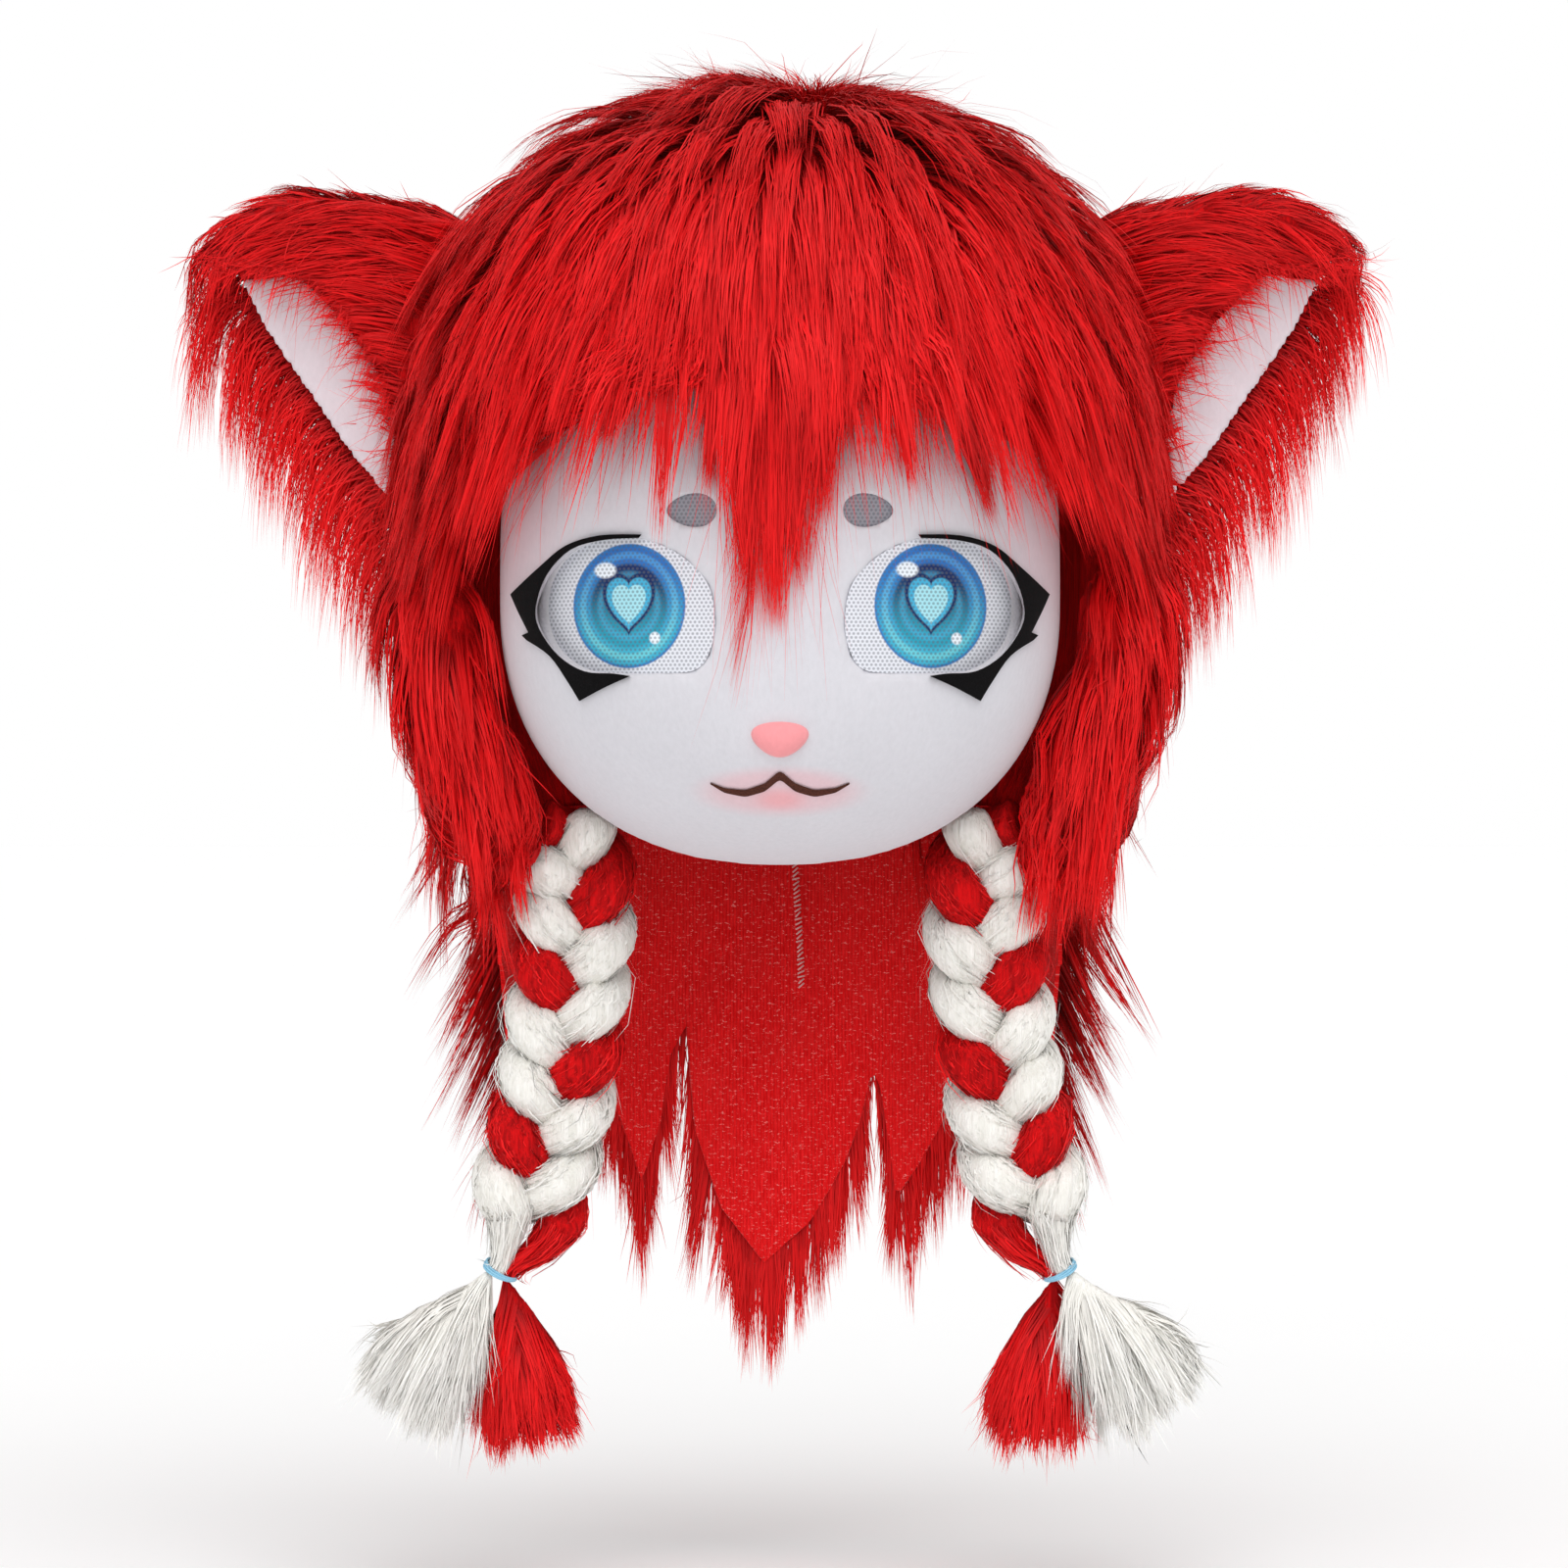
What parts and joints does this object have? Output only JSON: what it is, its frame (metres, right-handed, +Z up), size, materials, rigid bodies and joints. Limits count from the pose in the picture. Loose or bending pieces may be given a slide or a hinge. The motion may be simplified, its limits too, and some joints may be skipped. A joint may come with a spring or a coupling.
{
  "type": "fursuit head",
  "caption": "Costume head with a rigid white face shell, see-through eyes, red fur hood, drooping ears, a knit-backed neck panel and plaited braids.",
  "frame": {"origin": "inside top of the crown, where the head rests on its wearer's crown", "axes": "+Z up, the face looks along -Y, +X is the wearer's left"},
  "size_m": [0.504, 0.2954, 0.5595],
  "materials": {
    "white_pile": "short-pile white velour glued over the face shell and used as inner ears",
    "eye_mesh": "white perforated mesh printed with a blue iris",
    "brow_mesh": "grey perforated mesh",
    "black_felt": "matt black felt",
    "pink_flock": "flocked pink",
    "red_fur": "long-pile saturated red fur",
    "red_knit": "red rib knit backing with pale flecks",
    "white_fur": "long off-white fibre",
    "blue_elastic": "light blue covered elastic"
  },
  "bodies": {
    "root": {"face_shell": "white_pile", "eye_mesh_left": "eye_mesh", "eye_mesh_right": "eye_mesh", "brow_mesh_left": "brow_mesh", "brow_mesh_right": "brow_mesh", "lash_left": "black_felt", "lash_right": "black_felt", "nose": "pink_flock", "hood": "red_fur", "bangs": "red_fur", "ear_left": "red_fur", "ear_right": "red_fur", "ear_lining_left": "white_pile", "ear_lining_right": "white_pile", "side_hair_left": "red_fur", "side_hair_right": "red_fur", "neck_flap": "red_knit", "neck_fur": "red_fur", "braid_left_red": "red_fur", "braid_left_white_a": "white_fur", "braid_left_white_b": "white_fur", "braid_right_red": "red_fur", "braid_right_white_a": "white_fur", "braid_right_white_b": "white_fur", "hair_tie_left": "blue_elastic", "hair_tie_right": "blue_elastic", "tassel_left_white": "white_fur", "tassel_left_red": "red_fur", "tassel_right_white": "white_fur", "tassel_right_red": "red_fur"}
  },
  "joints": []
}
